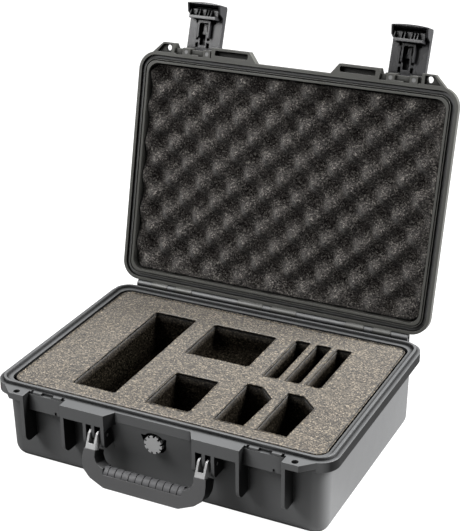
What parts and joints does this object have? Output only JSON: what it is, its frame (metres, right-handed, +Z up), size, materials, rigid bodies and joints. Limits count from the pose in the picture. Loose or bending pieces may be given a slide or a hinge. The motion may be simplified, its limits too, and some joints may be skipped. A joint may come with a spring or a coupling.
{
  "type": "telescope carry case",
  "caption": "Hard-shell carry case with hinged lid, press-open latches, folding handle, pressure vent, convoluted lid foam and a cut-foam tray for a spotting scope and accessories.",
  "frame": {"origin": "centre of the base's flat underside", "axes": "+X to the right as seen from the front, +Y towards the hinge, +Z up; the front with latches and handle faces -Y"},
  "size_m": [0.462, 0.4985, 0.5045],
  "materials": {
    "shell": "fine-textured moulded resin, satin",
    "lid_shell": "fine-textured moulded resin, satin",
    "latch": "satin nylon",
    "button": "satin nylon",
    "handle": "satin moulded resin",
    "grip": "soft overmould",
    "steel": "ground stainless pin",
    "bracket": "bright pressed plate",
    "plugs": "smooth",
    "gasket": "solid cord",
    "valve_cap": "satin",
    "membrane": "vent membrane",
    "tray_foam": "open-cell foam, warm grey, cut faces speckled",
    "lid_foam": "charcoal open-cell foam"
  },
  "bodies": {
    "base": {"base_shell": "shell", "foam_base_pad": "lid_foam", "foam_insert": "tray_foam", "hinge_pin_left": "steel", "hinge_pin_middle": "steel", "hinge_pin_right": "steel", "handle_pin_left": "steel", "handle_pin_right": "steel", "valve_body": "valve_cap", "valve_cap": "valve_cap", "valve_membrane": "membrane", "valve_o_ring": "gasket", "valve_nut": "valve_cap"},
    "lid": {"lid_shell": "lid_shell", "lid_gasket": "gasket", "lid_foam": "lid_foam", "latch_pin_left": "steel", "latch_pin_right": "steel", "latch_plugs_left": "plugs", "latch_plugs_right": "plugs"},
    "latch_left": {"latch_body_left": "latch", "latch_spring_left": "steel"},
    "button_left": {"latch_button_left": "button"},
    "latch_right": {"latch_body_right": "latch", "latch_spring_right": "steel"},
    "button_right": {"latch_button_right": "button"},
    "handle": {"handle_frame": "handle", "handle_grip": "grip", "handle_bracket_left": "bracket", "handle_bracket_right": "bracket", "handle_rivet_left": "steel", "handle_rivet_right": "steel"}
  },
  "joints": [
    {"name": "lid_hinge", "type": "hinge", "parent": "base", "child": "lid", "pos_m": [0, 0.168, 0.1166], "axis": [1, 0, 0], "range_deg": [-1.3, 103.7]},
    {"name": "latch_left_swing", "type": "hinge", "parent": "lid", "child": "latch_left", "pos_m": [-0.1483, 0.26343, 0.43712], "axis": [1, 0, 0], "range_deg": [-20, 96]},
    {"name": "latch_right_swing", "type": "hinge", "parent": "lid", "child": "latch_right", "pos_m": [0.1483, 0.26343, 0.43712], "axis": [1, 0, 0], "range_deg": [-20, 96]},
    {"name": "button_left_press", "type": "slide", "parent": "latch_left", "child": "button_left", "axis": [0, -0.9415, 0.3371], "range_m": [0, 0.0025], "stiffness_N_per_m": 600, "springref_m": -0.001, "deforming": ["latch_spring_left"]},
    {"name": "button_right_press", "type": "slide", "parent": "latch_right", "child": "button_right", "axis": [0, -0.9415, 0.3371], "range_m": [0, 0.0025], "stiffness_N_per_m": 600, "springref_m": -0.001, "deforming": ["latch_spring_right"]},
    {"name": "handle_swing", "type": "hinge", "parent": "base", "child": "handle", "pos_m": [0, -0.168, 0.0824], "axis": [-1, 0, 0], "range_deg": [0, 80]}
  ]
}
